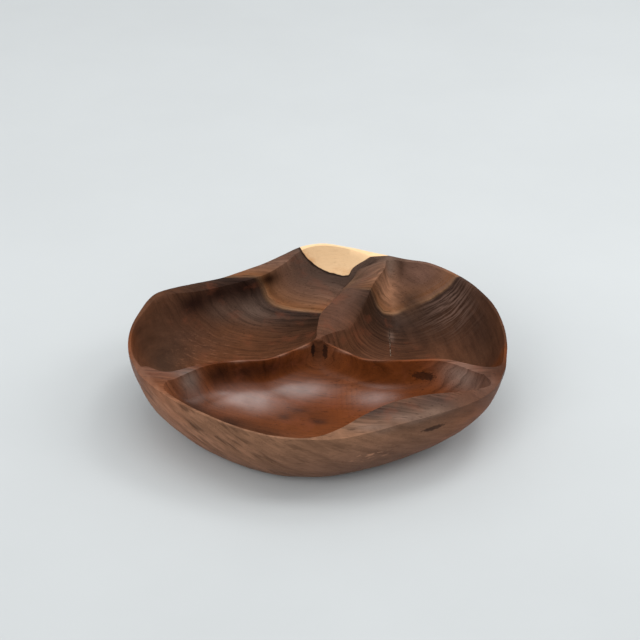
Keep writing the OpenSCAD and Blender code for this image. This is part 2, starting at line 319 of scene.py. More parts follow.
def in_edit_mode(action, **settings):
    """Run one edit-mode operator over the whole active mesh."""
    bpy.ops.object.mode_set(mode="EDIT")
    bpy.ops.mesh.select_all(action="SELECT")
    action(**settings)
    bpy.ops.object.mode_set(mode="OBJECT")


def sheet_object(rings):
    """A grid whose rows follow the rings, its two sides meeting."""
    rows, columns = len(rings), len(rings[0])
    bpy.ops.mesh.primitive_grid_add(x_subdivisions=columns, y_subdivisions=rows - 1, size=1)
    sheet = bpy.context.object
    points = np.array([np.vstack([ring, ring[:1]]) for ring in rings]).reshape(-1, 3)
    sheet.data.vertices.foreach_set("co", points.astype(np.float32).ravel())
    sheet.data.update()
    return sheet


def apply_modifier(piece, kind, **settings):
    """Add a modifier to a piece and apply it."""
    modifier = piece.modifiers.new(kind.title(), kind)
    for name, value in settings.items():
        setattr(modifier, name, value)
    select_only(piece)
    bpy.ops.object.modifier_apply(modifier=modifier.name)


def carved_blank(shape):
    """The whole bowl as one closed surface, gently uneven as a hand leaves it."""
    sheets = [sheet_object(rings) for rings in bowl_sheets(shape)]
    select_only(*sheets)
    bpy.ops.object.join()
    blank = bpy.context.object
    blank.name = BLANK
    in_edit_mode(bpy.ops.mesh.remove_doubles, threshold=MERGE_DISTANCE)
    in_edit_mode(bpy.ops.mesh.normals_make_consistent, inside=False)
    above_foot = blank.vertex_groups.new(name="above_foot")
    for vertex in blank.data.vertices:
        weight = (vertex.co.z - UNEVEN_FROM) / (UNEVEN_FULL - UNEVEN_FROM)
        if weight > 0:
            above_foot.add([vertex.index], min(weight, 1), "REPLACE")
    strokes = bpy.data.textures.new("carving_strokes", "CLOUDS")
    strokes.noise_scale = shape.stroke_width
    strokes.noise_depth = 1
    apply_modifier(blank, "DISPLACE", texture=strokes, texture_coords="LOCAL", mid_level=0.5,
                   strength=shape.stroke_depth, vertex_group=above_foot.name)


def parted(blank, name, cutters, operation):
    """A copy of the blank, parted from it by the cutters."""
    piece = bpy.data.objects.new(name, blank.data.copy())
    bpy.context.scene.collection.objects.link(piece)
    for cutter in cutters:
        apply_modifier(piece, "BOOLEAN", operation=operation, solver="EXACT", object=cutter)
    return piece


def sapwood_cutter():
    """Cone along y that holds the pale band at the back of the rim."""
    start, end = (share * HALF[1] for share in (SAPWOOD_START, SAPWOOD_END))
    bpy.ops.mesh.primitive_cone_add(
        vertices=CONE_SIDES, radius1=SAPWOOD_INNER * HALF[0], radius2=SAPWOOD_OUTER * HALF[0],
        depth=end - start, rotation=(math.radians(-90), 0, 0),
        location=(SAPWOOD_MIDDLE[0] * HALF[0], (start + end) / 2, SAPWOOD_MIDDLE[1] * HALF[2]))
    return bpy.context.object


def knot_cutter(shares, radius):
    """Slanted cylinder that holds one knot."""
    start, end = placed(shares)
    along = Vector(end - start)
    bpy.ops.mesh.primitive_cylinder_add(
        vertices=KNOT_SIDES, radius=radius, depth=along.length, location=(start + end) / 2,
        rotation=along.to_track_quat("Z", "Y").to_euler())
    return bpy.context.object


def crack_cutter(shape):
    """Thin plate that holds the filled crack."""
    low, high = shape.floor_thickness - CRACK_DEPTH, CRACK_TOP * HALF[2]
    bpy.ops.mesh.primitive_cube_add(size=1, location=(
        CRACK_MIDDLE[0] * HALF[0], CRACK_MIDDLE[1] * HALF[1], (low + high) / 2))
    cutter = bpy.context.object
    cutter.scale = (shape.crack_width, CRACK_LENGTH * HALF[1], high - low)
    bpy.ops.object.transform_apply(location=True, rotation=True, scale=True)
    return cutter


ZONES = {
    "sapwood_edge": lambda shape: sapwood_cutter(),
    "hub_knot_left": lambda shape: knot_cutter(HUB_KNOT_LEFT, shape.hub_knot_radius),
    "hub_knot_right": lambda shape: knot_cutter(HUB_KNOT_RIGHT, shape.hub_knot_radius),
    "front_knot": lambda shape: knot_cutter(FRONT_KNOT, shape.front_knot_radius),
    "outer_knot": lambda shape: knot_cutter(OUTER_KNOT, shape.outer_knot_radius),
    "crack_fill": crack_cutter,
}


def zone_piece(context, name):
    """The piece of the blank that one zone holds."""
    shape = context.scene.bowl_shape
    cutter = ZONES[name](shape)
    piece = parted(bpy.data.objects[BLANK], name + "_carved", [cutter], "INTERSECT")
    bpy.data.objects.remove(cutter)
    return piece


def finish_piece(piece, node, material):
    """Smooth a piece, give it its finish, hang it under the root body and hide its solid."""
    select_only(piece)
    bpy.ops.object.shade_smooth_by_angle(angle=SMOOTH_ANGLE)
    piece.data.materials.clear()
    piece.data.materials.append(material)
    piece.vertex_groups.clear()
    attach(piece, "root")
    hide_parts(node)


class Channel:
    """A value on its way through a material, with the sums on it as nodes."""

    def __init__(self, tree, socket=None):
        self.tree = tree
        self.socket = socket

    def node(self, kind, settings=None, inputs=None, output=0):
        """Any node: its settings first, then the values or links of its inputs."""
        node = self.tree.nodes.new(kind)
        for name, value in (settings or {}).items():
            if name == "stops":
                ramp = node.color_ramp.elements
                while len(ramp) < len(value):
                    ramp.new(0.5)
                for element, (place, colour) in zip(ramp, value):
                    element.position = place
                    element.color = (*colour, 1)
            else:
                setattr(node, name, value)
        for key, value in (inputs or {}).items():
            if isinstance(value, Channel):
                self.tree.links.new(value.socket, node.inputs[key])
            else:
                node.inputs[key].default_value = value
        return Channel(self.tree, node.outputs[output])

    def maths(self, operation, a, b=0.0, c=0.0):
        """One Math node."""
        return self.node("ShaderNodeMath", {"operation": operation}, {0: a, 1: b, 2: c})

    def __add__(self, other):
        return self.maths("ADD", self, other)

    def __sub__(self, other):
        return self.maths("SUBTRACT", self, other)

    def __mul__(self, other):
        return self.maths("MULTIPLY", self, other)

    def __truediv__(self, other):
        return self.maths("DIVIDE", self, other)

    def __pow__(self, other):
        return self.maths("POWER", self, other)

    def __rsub__(self, other):
        return self.maths("SUBTRACT", other, self)

    __radd__ = __add__
    __rmul__ = __mul__

    def ramp(self, low, high, start=0.0, end=1.0):
        """Soft step from start to end while the value goes from low to high."""
        return self.node("ShaderNodeMapRange", {"interpolation_type": "SMOOTHSTEP"},
                         {0: self, 1: low, 2: high, 3: start, 4: end})

    def vector(self, x, y, z):
        """Vector of three values."""
        return self.node("ShaderNodeCombineXYZ", {}, {0: x, 1: y, 2: z})

    def part(self, index):
        """The x, the y or the z of a vector."""
        return self.node("ShaderNodeSeparateXYZ", {}, {0: self}, output=index)

    def vector_maths(self, operation, a, b, output=0):
        """One Vector Math node of two vectors; output 1 gives a single value."""
        return self.node("ShaderNodeVectorMath", {"operation": operation}, {0: a, 1: b},
                         output=output)

    def scaled(self, share):
        """A colour or vector times a value."""
        return self.node("ShaderNodeVectorMath", {"operation": "SCALE"},
                         {0: self, "Scale": share})

    def mixed(self, other, share):
        """This colour with a share of another one."""
        other = other if isinstance(other, Channel) else (*other, 1)
        return self.node("ShaderNodeMix", {"data_type": "RGBA"}, {0: share, 6: self, 7: other},
                         output=2)

    def between(self, first, second):
        """Colour that goes from the first to the second as this value grows."""
        return self.node("ShaderNodeMix", {"data_type": "RGBA"},
                         {0: self, 6: (*first, 1), 7: (*second, 1)}, output=2)

    def cloud(self, name):
        """One of the named noises, laid out by this place."""
        stretch, detail, roughness, offset = CLOUDS[name]
        place = self.node("ShaderNodeMapping", {}, {0: self, 1: offset, 3: stretch})
        return self.node("ShaderNodeTexNoise", {}, {
            "Vector": place, "Scale": 1.0, "Detail": detail, "Roughness": roughness})


COAT_IOR = 1.65
SHEET_GLOSS = 0.25
# Depth in metres of the fine relief in each finish
WOOD_RELIEF = 0.00015
FILLER_RELIEF = 0.0002
SHEET_RELIEF = 0.0001

CLOUDS = {
    # scale on millimetres along each axis, detail, roughness, offset
    "slow_bend": ((0.006, 0.014, 0.014), 2, 0.5, (0, 0, 0)),
    "quick_bend": ((0.02, 0.06, 0.06), 3, 0.5, (0, 0, 0)),
    "ring_waver": ((0.01, 0.03, 0.03), 2, 0.5, (0, 0, 0)),
    "lines": ((1, 0.45, 1), 4, 0.62, (0, 0, 0)),
    "slants": ((1, 1, 1), 5, 0.68, (0, 0, 0)),
    "fibre": ((0.035, 1.6, 1.6), 3, 0.6, (0, 0, 0)),
    "pores": ((0.11, 1.9, 1.9), 1, 0.5, (3, 7, 5)),
    "mottle": ((0.02, 0.03, 0.03), 3, 0.5, (0, 0, 0)),
    "blotch": ((0.05, 0.07, 0.07), 4, 0.6, (9, 2, 4)),
    "gouges": ((1, 1, 1), 1, 0.5, (4, 8, 1)),
    "strokes": ((1.3, 1.3, 1.3), 2, 0.5, (1, 3, 6)),
    "fine_lines": ((1.2, 0.75, 1.2), 4, 0.65, (0, 0, 0)),
    "threads": ((0.035, 0.55, 0.55), 3, 0.5, (5, 1, 8)),
    "ragged_knot": ((0.5, 0.9, 0.9), 4, 0.65, (0, 0, 0)),
    "sapwood_waver": ((0.09, 0.2, 0.09), 2, 0.5, (0, 0, 0)),
    "filler_grain": ((0.9, 0.3, 0.9), 3, 0.7, (0, 0, 0)),
    "sheet": ((0.004, 0.004, 0.004), 5, 0.6, (0, 0, 0)),
}

BAND_COLOURS = [
    # ring coordinate, colour
    (-125, (0.205, 0.104, 0.058)),
    (-95, (0.190, 0.092, 0.051)),
    (-72, (0.160, 0.056, 0.024)),
    (-58, (0.125, 0.036, 0.011)),
    (-30, (0.120, 0.030, 0.007)),
    (-8, (0.125, 0.034, 0.009)),
    (4, (0.095, 0.036, 0.018)),
    (22, (0.100, 0.041, 0.020)),
    (45, (0.080, 0.032, 0.016)),
    (62, (0.056, 0.024, 0.013)),
    (78, (0.042, 0.020, 0.012)),
    (91, (0.034, 0.020, 0.015)),
    (92.4, (0.230, 0.120, 0.062)),
    (94.5, (0.190, 0.078, 0.032)),
    (99, (0.190, 0.088, 0.046)),
    (106, (0.145, 0.074, 0.047)),
    (113, (0.085, 0.050, 0.036)),
    (118, (0.070, 0.043, 0.032)),
]

# Stains of the wood, with painted shade and painted highlights among them where noted.
STAINS_AND_PAINTED_LIGHT = [
    # middle and reach in millimetres, colour, strength
    ((-118, 25, 44), (32, 54, 26), (0.056, 0.025, 0.014), 0.9),
    ((-80, 14, 20), (44, 30, 18), (0.135, 0.040, 0.012), 0.75),
    ((-72, 98, 62), (44, 20, 4.5), (0.150, 0.078, 0.052), 0.9),
    # Painted shade: the dark band under the back-left rim.
    ((-96, 66, 47), (17, 12, 9), (0.014, 0.005, 0.003), 1.0),
    ((-76, 79, 47), (17, 12, 9), (0.014, 0.005, 0.003), 1.0),
    ((-58, 89, 47), (15, 11, 8), (0.014, 0.005, 0.003), 1.0),
    ((-40, 99, 50), (11, 7, 6), (0.016, 0.006, 0.003), 1.0),
    ((13, 44, 52), (17, 34, 10), (0.095, 0.044, 0.028), 0.9),
    ((26, 76, 57), (14, 26, 9), (0.085, 0.044, 0.030), 0.8),
    # Painted shade in the valley between the back ridge's hump and the niche.
    ((40, 70, 44), (9, 20, 13), (0.040, 0.019, 0.011), 1.0),
    # Paler wood with a painted highlight on the left wall of the niche.
    ((55, 96, 42), (10, 12, 14), (0.500, 0.250, 0.140), 0.8),
    ((75, 92, 32), (13, 12, 13), (0.060, 0.029, 0.016), 0.95),
    ((58, 107, 56), (4, 6, 8), (0.200, 0.130, 0.096), 0.7),
    ((67, 106, 56), (3, 6, 9), (0.045, 0.024, 0.015), 0.8),
    ((84, 98, 54), (20, 12, 11), (0.140, 0.072, 0.050), 0.7),
    ((124, 34, 44), (20, 54, 22), (0.040, 0.019, 0.012), 0.9),
    ((70, 12, 22), (34, 16, 12), (0.085, 0.034, 0.019), 0.6),
    # Painted shade: the dark band under the crest of the left ridge, above the front hollow.
    ((-72, -29, 45), (16, 8, 9), (0.030, 0.009, 0.004), 1.0),
    ((-54, -23, 42), (15, 8, 8), (0.030, 0.009, 0.004), 1.0),
    ((-36, -16, 41), (15, 7, 7), (0.036, 0.010, 0.004), 1.0),
    ((-17, -9, 40), (12, 6, 6), (0.044, 0.012, 0.004), 0.8),
    ((-88, -44, 52), (16, 9, 9), (0.080, 0.038, 0.024), 0.8),
    # Painted highlight at the left end of the front hollow.
    ((-93, -44, 49), (9, 6, 8), (0.170, 0.122, 0.098), 0.75),
    ((-86, -57, 35), (15, 9, 11), (0.040, 0.017, 0.010), 0.9),
    ((-63, -61, 23), (20, 8, 10), (0.034, 0.013, 0.007), 0.9),
    ((-40, -64, 16), (16, 7, 9), (0.050, 0.018, 0.008), 0.8),
    ((52, -24, 40), (44, 12, 12), (0.125, 0.034, 0.009), 0.7),
    ((106, -38, 48), (18, 16, 10), (0.210, 0.135, 0.105), 0.95),
    ((112, -62, 56), (22, 22, 10), (0.100, 0.060, 0.046), 0.9),
    # Grey-brown colour and painted shade on the front-right bevel.
    ((44, -99, 60), (36, 12, 9), (0.042, 0.026, 0.020), 1.0),
    ((80, -88, 60), (30, 15, 9), (0.052, 0.031, 0.024), 1.0),
    # Painted highlight along the crease between the front-right bevel and the outer wall.
    ((38, -113, 57), (15, 4, 4), (0.155, 0.098, 0.073), 0.8),
    ((60, -105, 59), (16, 4, 4), (0.160, 0.100, 0.075), 0.8),
    ((76, -97, 59), (16, 8, 2.5), (0.200, 0.125, 0.090), 0.6),
    ((-122, -44, 58), (20, 16, 12), (0.130, 0.066, 0.045), 0.7),
    ((58, 63, 18), (2.6, 6, 4), (0.150, 0.098, 0.075), 0.5),
    ((-66, 64, 19), (30, 18, 12), (0.100, 0.036, 0.014), 0.7),
    ((-112, 16, 26), (26, 36, 18), (0.050, 0.026, 0.016), 0.9),
    # Painted sheen on the back wall of the left hollow.
    ((-52, 84, 30), (18, 10, 9), (0.105, 0.068, 0.052), 0.7),
    ((-76, 76, 34), (18, 10, 8), (0.085, 0.050, 0.036), 0.6),
    ((-8, -39, 17), (15, 8, 8), (0.070, 0.019, 0.005), 0.75),
    ((25, -19, 25), (9, 8, 8), (0.210, 0.068, 0.026), 0.6),
    # Painted highlight along the crests of the left and right ridges.
    ((-57, -21, 51.5), (9, 3, 1.5), (0.250, 0.140, 0.100), 0.6),
    ((-42, -17, 51), (9, 3, 1.5), (0.250, 0.140, 0.100), 0.6),
    ((-28, -11, 50), (9, 3, 1.5), (0.250, 0.140, 0.100), 0.6),
    ((-13, -4, 52), (9, 3, 1.5), (0.250, 0.140, 0.100), 0.6),
    ((20, -8, 50), (13, 3, 1.5), (0.240, 0.132, 0.092), 0.6),
    ((42, -16, 49), (14, 3, 1.5), (0.220, 0.110, 0.070), 0.5),
    ((130, -38, 56), (14, 13, 12), (0.040, 0.018, 0.011), 0.8),
    ((0, -46, 14), (7, 3, 6), (0.025, 0.010, 0.006), 0.8),
    ((-25, -44, 15), (5, 3, 6), (0.030, 0.012, 0.007), 0.7),
    ((-14, -36, 19), (6, 1.6, 6), (0.030, 0.010, 0.006), 0.6),
]
KNOTS = [
    # middle and reach in millimetres, strength
    ((-3.7, -1.3, 47.5), (1.7, 5, 5.6), 0.94),
    ((5.4, -1.9, 46.5), (2.1, 5, 6.6), 0.78),
    ((77.5, -26, 40.5), (10, 5, 3.6), 0.72),
    ((81, -98.5, 46.5), (13, 6, 2.4), 0.75),
]
OILED = [
    # middle and reach of the places that shine
    ((-50, -33, 27), (30, 12, 12)),
    ((-16, -19, 26), (24, 9, 10)),
    ((43, -29, 22), (16, 9, 8)),
    ((-92, -45, 48), (14, 8, 12)),
]
CALM = [
    # middle and reach of the places where the rings are faint
    ((0, -45, 25), (110, 40, 40)),
    ((-90, 26, 36), (52, 56, 34)),
    ((-14, 106, 44), (36, 15, 20)),
    ((18, 56, 54), (20, 52, 18)),
]

# Middle and reach, in millimetres, of the places with marks of their own
CALM_LIP = ((68, -92, 57), (48, 18, 8))
LOOPED = ((20, -24, 24), (14, 18, 16))
GOUGED = ((-74, -92, 30), (80, 60, 44))
STROKED = ((-96, -84, 34), (70, 56, 36))
SCRATCHED = ((34, -110, 34), (17, 16, 6))
FIBROUS = ((98, 72, 44), (25, 22, 18))
THREADED = [((-70, 30, 20), (36, 26, 14)), ((88, 10, 24), (30, 16, 12))]
SHEEN = ((-15, -45, 22), (80, 30, 22))
BENDS = [
    # middle and reach, shift of the rings in millimetres
    ((-50, 94, 46), (26, 16, 20), -4),
    ((80, 88, 32), (22, 16, 16), -5),
]
# Middle, width and depth of the dip of the rings at the right, in millimetres
DIP_MIDDLE = (32, 78)
DIP_WIDTH = (24, 26)
DIP_DEPTH = 17
# How far the noises bend the rings, in millimetres, and their slant across the bowl
SLOW_BEND = 14
QUICK_BEND = 4
RING_SLANT = 0.05
# Reach of the outer wall along x, y and z in millimetres, and its draw towards the foot
WALL_REACH = (140, 122, 62)
WALL_BEND = 1.9
WALL_DRAW = 0.42
# Middle of the loops, in millimetres, and the space between them
LOOP_MIDDLE = (34, -9, 8)
LOOP_SPACING = 3.8

# How far inside the sapwood, in millimetres, its edge and the dark line before it lie
SAPWOOD_FADE = (-0.3, 0.5)
DARK_LINE = (-2.6, -0.4)
HONEY_FADE = (0, 9)
# Where the dark wood at the right of the sapwood begins, in millimetres
FLANK_START = (24, 34)
FLANK_BACK = 113.5

WALLS = [
    # middle and reach in millimetres, colour of the outer wall there
    ((-118, -50, 28), (46, 46, 32), (0.270, 0.135, 0.082)),
    ((30, -108, 20), (90, 40, 34), (0.100, 0.052, 0.036)),
]
WALL_STRENGTH = 0.8
MARKS = {
    # colour, strength
    "red": ((0.150, 0.042, 0.020), 0.3),
    "fibres": ((0.165, 0.098, 0.074), 0.8),
    "threads": ((0.200, 0.085, 0.045), 0.75),
    "strokes": ((0.330, 0.165, 0.098), 0.45),
    "scratches": ((0.300, 0.150, 0.090), 1.6),
}
STRONGEST_MARK = 0.9
HONEY_COLOUR = (0.72, 0.38, 0.17)
FILLER_SHADE = (0.03, 0.016, 0.011)

# Weights of the patterns in the light and dark, the roughness and the relief
LEAST_TONE = 0.05
TONE = {"streaks": 0.8, "mottle": 0.5, "blotch": 0.6, "fibre": 0.4}
DARKENING = {"gouges": 0.5, "late": 0.42, "loops": 0.25, "pores": 0.45, "line": 0.75}
ROUGHENING = {"fibre": 0.16, "pores": 0.12, "mottle": 0.1}
RELIEF = {"fibre": 0.35, "late": -0.25, "pores": -0.8, "slants": 0.8, "gouges": -1.6}
CALMING = 0.9


def new_material(name, gloss):
    """Material with its shader and the place on the piece in millimetres."""
    material = bpy.data.materials.new(name)
    material.use_nodes = True
    shader = material.node_tree.nodes["Principled BSDF"]
    shader.inputs["Specular IOR Level"].default_value = gloss
    place = Channel(material.node_tree).node("ShaderNodeTexCoord", output=3).scaled(1 / MM)
    return material, shader, place


def finish_shader(shader, colour, roughness, height, depth):
    """Link colour, roughness and a fine relief to the shader."""
    links = colour.tree.links
    relief = colour.node("ShaderNodeBump", {}, {"Strength": 1.0, "Distance": depth,
                                               "Height": height})
    links.new(colour.socket, shader.inputs["Base Color"])
    links.new(roughness.socket, shader.inputs["Roughness"])
    links.new(relief.socket, shader.inputs["Normal"])


def closeness(place, middle, reach):
    """One at a place in the block, and less away from it."""
    away = place.vector_maths("SUBTRACT", place, middle)
    away = place.vector_maths("DIVIDE", away, reach)
    square = place.vector_maths("DOT_PRODUCT", away, away, output=1)
    return place.maths("EXPONENT", square * -1)


def nearest(place, spots):
    """The greatest closeness to any of some places."""
    near = closeness(place, *spots[0])
    for middle, reach in spots[1:]:
        near = place.maths("MAXIMUM", near, closeness(place, middle, reach))
    return near


def ring_coordinate(place, x, y):
    """Coordinate of the growth rings in millimetres, from the front to the back."""
    across = ((x - DIP_MIDDLE[0]) / DIP_WIDTH[0]) ** 2
    along = ((y - DIP_MIDDLE[1]) / DIP_WIDTH[1]) ** 2
    dip = place.maths("EXPONENT", (across + along) * -1) * DIP_DEPTH
    slow = place.cloud("slow_bend") - 0.5
    quick = place.cloud("quick_bend") - 0.5
    rings = y + x * RING_SLANT + dip + slow * SLOW_BEND + quick * QUICK_BEND
    for middle, reach, shift in BENDS:
        rings = rings + closeness(place, middle, reach) * shift
    return rings


def sapwood_depth(x, y, z):
    """How deep a place lies inside the cone of the sapwood, in millimetres."""
    middle = SAPWOOD_MIDDLE[0] * HALF[0] / MM, SAPWOOD_MIDDLE[1] * HALF[2] / MM
    start, end = (share * HALF[1] / MM for share in (SAPWOOD_START, SAPWOOD_END))
    inner, outer = (share * HALF[0] / MM for share in (SAPWOOD_INNER, SAPWOOD_OUTER))
    far = ((x - middle[0]) ** 2 + (z - middle[1]) ** 2) ** 0.5
    return (y - start) * ((outer - inner) / (end - start)) + inner - far


def outer_share(place, x, y, z):
    """One near the outer wall, none near the hollows."""
    far = ((x / WALL_REACH[0]) ** 2 + (y / WALL_REACH[1]) ** 2) ** 0.5
    below = place.maths("MAXIMUM", 1 - z / WALL_REACH[2], 0.0)
    wall = 1 - below ** WALL_BEND * WALL_DRAW
    return (far - wall).ramp(-0.055, -0.02)


class Grain:
    """Patterns that the colour, the gloss and the relief of the wood share."""

    def __init__(self, place, ring_spacing):
        x, y, z = (place.part(index) for index in range(3))
        self.place, self.x, self.y, self.z = place, x, y, z
        self.rings = ring_coordinate(place, x, y)
        self.outer = outer_share(place, x, y, z)
        self.fibre = place.cloud("fibre")
        self.mottle = place.cloud("mottle")
        self.blotch = place.cloud("blotch")
        self.pores = place.cloud("pores").ramp(0.63, 0.74)
        self.ring_place = place.vector(x * 0.02, self.rings, z * 0.03)
        self.gouge_place = self.slanted(0.05, 0.17)
        self.slants = self.slanted(0.03, 0.19).cloud("slants")
        lines = self.ring_place.cloud("lines")
        self.lines = lines + (self.slants * 0.55 + 0.225 - lines) * self.outer
        calm = place.maths("MAXIMUM", nearest(place, CALM) * (1 - self.outer),
                           closeness(place, *CALM_LIP))
        self.lively = 1 - calm * CALMING
        ring = place.maths("FRACT", self.rings / ring_spacing + place.cloud("ring_waver") * 2)
        self.late = ring ** 7 * (1 - self.outer) * self.lively
        gouges = self.gouge_place.cloud("gouges").ramp(0.54, 0.7)
        self.gouges = gouges * self.outer * closeness(place, *GOUGED)
        waver = (place.cloud("sapwood_waver") - 0.5) * 3
        flank = x.ramp(*FLANK_START) * (FLANK_BACK - y).ramp(0, 2.5)
        self.sapwood_depth = sapwood_depth(x, y, z) + waver - flank * 30

    def slanted(self, across, down):
        """Place stretched along fibres that slant down the outer wall."""
        return self.place.vector(self.x * across - self.z * 0.02, self.y * 0.03,
                                 self.x * 0.1 + self.z * down)

    def loops(self):
        """Closed loops that the rings draw on the slope right of the middle."""
        place = self.place
        flat_place = place.vector(self.x, self.y * 0.35, self.z * 0.35)
        bulge = place.vector_maths("DISTANCE", flat_place, LOOP_MIDDLE, output=1)
        loops = place.maths("FRACT", bulge / LOOP_SPACING + self.lines) ** 4
        return loops * closeness(place, *LOOPED) * DARKENING["loops"]

    def bands_stains_and_painted_light(self):
        """Colour of the rings, the outer wall, the stains, and the painted shade and painted
        highlights.
        """
        place = self.place
        low, high = BAND_COLOURS[0][0], BAND_COLOURS[-1][0]
        stops = [((at - low) / (high - low), colour) for at, colour in BAND_COLOURS]
        band = place.node("ShaderNodeValToRGB", {"stops": stops},
                          {0: (self.rings - low) / (high - low)})
        for middle, reach, colour in WALLS:
            share = self.outer * WALL_STRENGTH * closeness(place, middle, reach)
            band = band.mixed(colour, share)
        uneven = 0.6 + self.mottle * 0.8
        for middle, reach, colour, strength in STAINS_AND_PAINTED_LIGHT:
            band = band.mixed(colour, closeness(place, middle, reach) * uneven * strength)
        return band

    def marked(self, dark):
        """The dark wood with the marks laid over it in turn."""
        place = self.place
        fibres = self.ring_place.cloud("fine_lines").ramp(0.44, 0.58)
        threads = place.cloud("threads").ramp(0.56, 0.7)
        strokes = self.gouge_place.cloud("strokes").ramp(0.5, 0.66) * self.outer
        shares = {
            "red": self.blotch.ramp(0.52, 0.72) * (1 - self.outer),
            "fibres": fibres * closeness(place, *FIBROUS),
            "threads": threads * nearest(place, THREADED),
            "strokes": strokes * closeness(place, *STROKED),
            "scratches": threads * closeness(place, *SCRATCHED),
        }
        for name, share in shares.items():
            colour, strength = MARKS[name]
            dark = dark.mixed(colour, place.maths("MINIMUM", share * strength, STRONGEST_MARK))
        return dark

    def dark_wood(self, finish):
        """Colour of the heartwood with its knots."""
        place = self.place
        streaks = 0.5 + (self.lines.ramp(0.25, 0.75) - 0.5) * self.lively
        tone = (LEAST_TONE + streaks * TONE["streaks"] + self.mottle * TONE["mottle"]
                + self.blotch * TONE["blotch"])
        tone = tone * (0.8 + self.fibre * TONE["fibre"]) * (1 - self.loops())
        for name, pattern in (("gouges", self.gouges), ("late", self.late),
                              ("pores", self.pores)):
            tone = tone * (1 - pattern * DARKENING[name])
        dark = self.marked(self.bands_stains_and_painted_light().scaled(tone))
        ragged = (place.cloud("ragged_knot") - 0.5) * 1.3
        for middle, reach, strength in KNOTS:
            knot = (closeness(place, middle, reach) + ragged).ramp(0.3, 0.62)
            dark = dark.mixed(finish.knot_colour, knot * strength)
        return dark.scaled(finish.brightness)

    def pale_wood(self, finish):
        """Colour of the sapwood, honey where it meets the dark wood."""
        cream = self.lines.between(finish.sapwood_deep, finish.sapwood_colour)
        honey = (1 - self.sapwood_depth.ramp(*HONEY_FADE)) * self.blotch.ramp(0.35, 0.65)
        return cream.mixed(HONEY_COLOUR, honey).scaled(
            0.9 + self.fibre * 0.2 + self.mottle * 0.15)


def wood_material(name, finish):
    """Oiled wood, dark inside and pale at the back, with one dark line between."""
    material, shader, place = new_material(name, finish.gloss)
    shader.inputs["Coat Roughness"].default_value = finish.coat_roughness
    shader.inputs["Coat IOR"].default_value = COAT_IOR
    grain = Grain(place, finish.ring_spacing)
    sap = grain.sapwood_depth.ramp(*SAPWOOD_FADE)
    line = grain.sapwood_depth.ramp(*DARK_LINE) * (1 - sap)
    dark = grain.dark_wood(finish).scaled(1 - line * DARKENING["line"])
    colour = dark.mixed(grain.pale_wood(finish), sap)
    roughness = (finish.roughness + (grain.fibre - 0.5) * ROUGHENING["fibre"]
                 + grain.pores * ROUGHENING["pores"]
                 + (grain.mottle - 0.5) * ROUGHENING["mottle"])
    oil = nearest(place, OILED) * (0.75 + grain.blotch * 0.8)
    oil = (oil + closeness(place, *SHEEN) * 0.06 + 0.01) * finish.coat
    material.node_tree.links.new(oil.socket, shader.inputs["Coat Weight"])
    height = (grain.fibre * RELIEF["fibre"] + grain.late * RELIEF["late"]
              + grain.pores * RELIEF["pores"] + grain.gouges * RELIEF["gouges"]
              + grain.slants * grain.outer * RELIEF["slants"])
    finish_shader(shader, colour, roughness, height, WOOD_RELIEF)
    return material


def filler_material(name, finish):
    """Matt filler, a little grainy."""
    material, shader, place = new_material(name, finish.gloss)
    grain = place.cloud("filler_grain").ramp(0.45, 0.58)
    share = grain * place.part(1).ramp(56, 64, 1.0, 0.15)
    colour = share.between(FILLER_SHADE, finish.filler_colour)
    finish_shader(shader, colour, 0.55 + grain * 0.15, grain, FILLER_RELIEF)
    return material


def sheet_material(name, stage):
    """Pale backing sheet with the faintest cloudiness, darkened towards the front by painted
    shade.
    """
    material, shader, place = new_material(name, SHEET_GLOSS)
    cloud = place.cloud("sheet")
    shade = [value * 0.97 for value in stage.sheet_colour]
    colour = cloud.ramp(0.3, 0.7).between(shade, stage.sheet_colour)
    # Painted shade: the sheet darkens towards the front.
    colour = colour.scaled(place.part(1).ramp(-700, 300, 0.86, 1.0))
    finish_shader(shader, colour, 0.75 + cloud * 0.1, cloud, SHEET_RELIEF)
    return material


def number_property(name, description, default, **settings):
    """One number of the panel."""
    return bpy.props.FloatProperty(name=name, description=description, default=default,
                                   **settings)


def length_property(name, description, default):
    """One length of the panel, in metres."""
    return number_property(name, description, default, unit="LENGTH", precision=5)


def share_property(name, description, default, low=0, high=1):
    """One share of the panel."""
    return number_property(name, description, default, subtype="FACTOR", min=low, max=high)


def colour_property(name, description, default):
    """One colour of the panel."""
    return bpy.props.FloatVectorProperty(name=name, description=description, default=default,
                                         subtype="COLOR", min=0, max=1)


class BowlShape(bpy.types.PropertyGroup):
    """Sizes of the bowl."""
    rim_thickness: length_property(
        "Rim thickness", "Thickness of the rim where it is thinnest", 2.2 * MM)
    ridge_thickness: length_property(
        "Ridge thickness", "Thickness of the ridges at their crest", 1.9 * MM)
    floor_thickness: length_property(
        "Floor thickness", "Thickness of the wood under each hollow", 12 * MM)
    foot_share: share_property(
        "Foot", "Width of the flat foot as a share of the bowl", 0.59, 0.4, 0.8)
    stroke_width: length_property(
        "Stroke width", "Width of the uneven places that carving leaves", 22 * MM)
    stroke_depth: length_property(
        "Stroke depth", "Depth of the uneven places that carving leaves", 0.7 * MM)
    hub_knot_radius: length_property(
        "Hub knot radius", "Radius of the two knots under the ridges", 1.3 * MM)
    front_knot_radius: length_property(
        "Front knot radius", "Radius of the knot in the front hollow", 2.2 * MM)
    outer_knot_radius: length_property(
        "Outer knot radius", "Radius of the knot in the outer wall", 1.8 * MM)
    crack_width: length_property("Crack width", "Width of the filled crack", 0.6 * MM)


